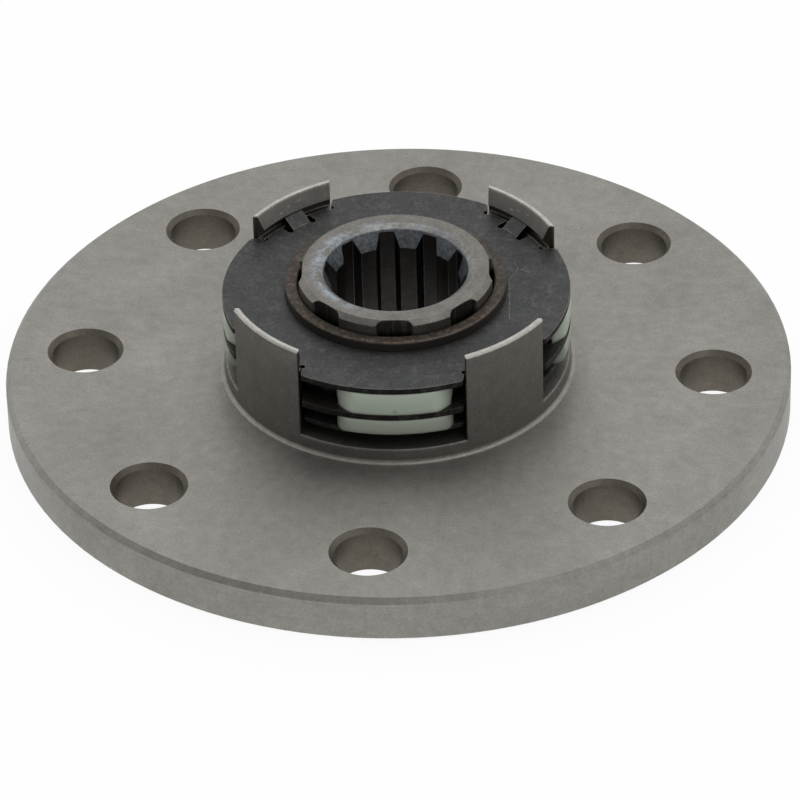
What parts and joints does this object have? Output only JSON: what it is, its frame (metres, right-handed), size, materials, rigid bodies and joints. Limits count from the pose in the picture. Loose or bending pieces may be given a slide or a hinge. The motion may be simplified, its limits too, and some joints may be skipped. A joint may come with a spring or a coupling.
{
  "type": "torsional damper",
  "caption": "Flanged torsional damper: a bolt-on disc whose upright fingers hold a spring pack, so that the splined hub twists a little against the flange.",
  "frame": {"origin": "centre of the flange's underside, on the axis of rotation", "axes": "+Z along the axis of rotation, from the mounting face towards the fingers; -Y through a bolt hole and the middle of a window"},
  "size_m": [0.199, 0.199, 0.041],
  "materials": {
    "machined_steel": "satin ground and turned steel, light grey with a warm tint",
    "hub_steel": "satin steel with bluish heat marks at the bore",
    "rusted_steel": "dull steel with thin brown rust",
    "rusted_plate": "dark steel sheet with brown rust",
    "phosphated_steel": "blue-black phosphated steel sheet, faintly scratched",
    "spring_steel": "dark oiled spring steel",
    "guide_plastic": "natural plastic, greenish white",
    "friction_lining": "dark moulded friction lining"
  },
  "bodies": {
    "housing": {"flange": "machined_steel", "lower_bush": "rusted_steel", "disc_spring": "spring_steel", "pressure_plate": "phosphated_steel", "pressure_lining": "friction_lining", "lower_lining": "friction_lining", "drive_plate": "rusted_plate", "upper_lining": "friction_lining", "upper_bush": "rusted_steel", "retaining_plate": "phosphated_steel", "spring_1": "spring_steel", "spring_2": "spring_steel", "spring_3": "spring_steel", "spring_4": "spring_steel", "guide_1": "guide_plastic", "guide_2": "guide_plastic", "guide_3": "guide_plastic", "guide_4": "guide_plastic"},
    "driven_hub": {"hub": "hub_steel", "lower_driven_plate": "phosphated_steel", "upper_driven_plate": "phosphated_steel"}
  },
  "joints": [
    {"name": "hub_twist", "type": "hinge", "parent": "housing", "child": "driven_hub", "pos_m": [0, 0, 0.02], "axis": [0, 0, 1], "range_deg": [-6, 6], "stiffness_Nm_per_rad": 340, "deforming": ["spring_1", "spring_2", "spring_3", "spring_4"]}
  ]
}
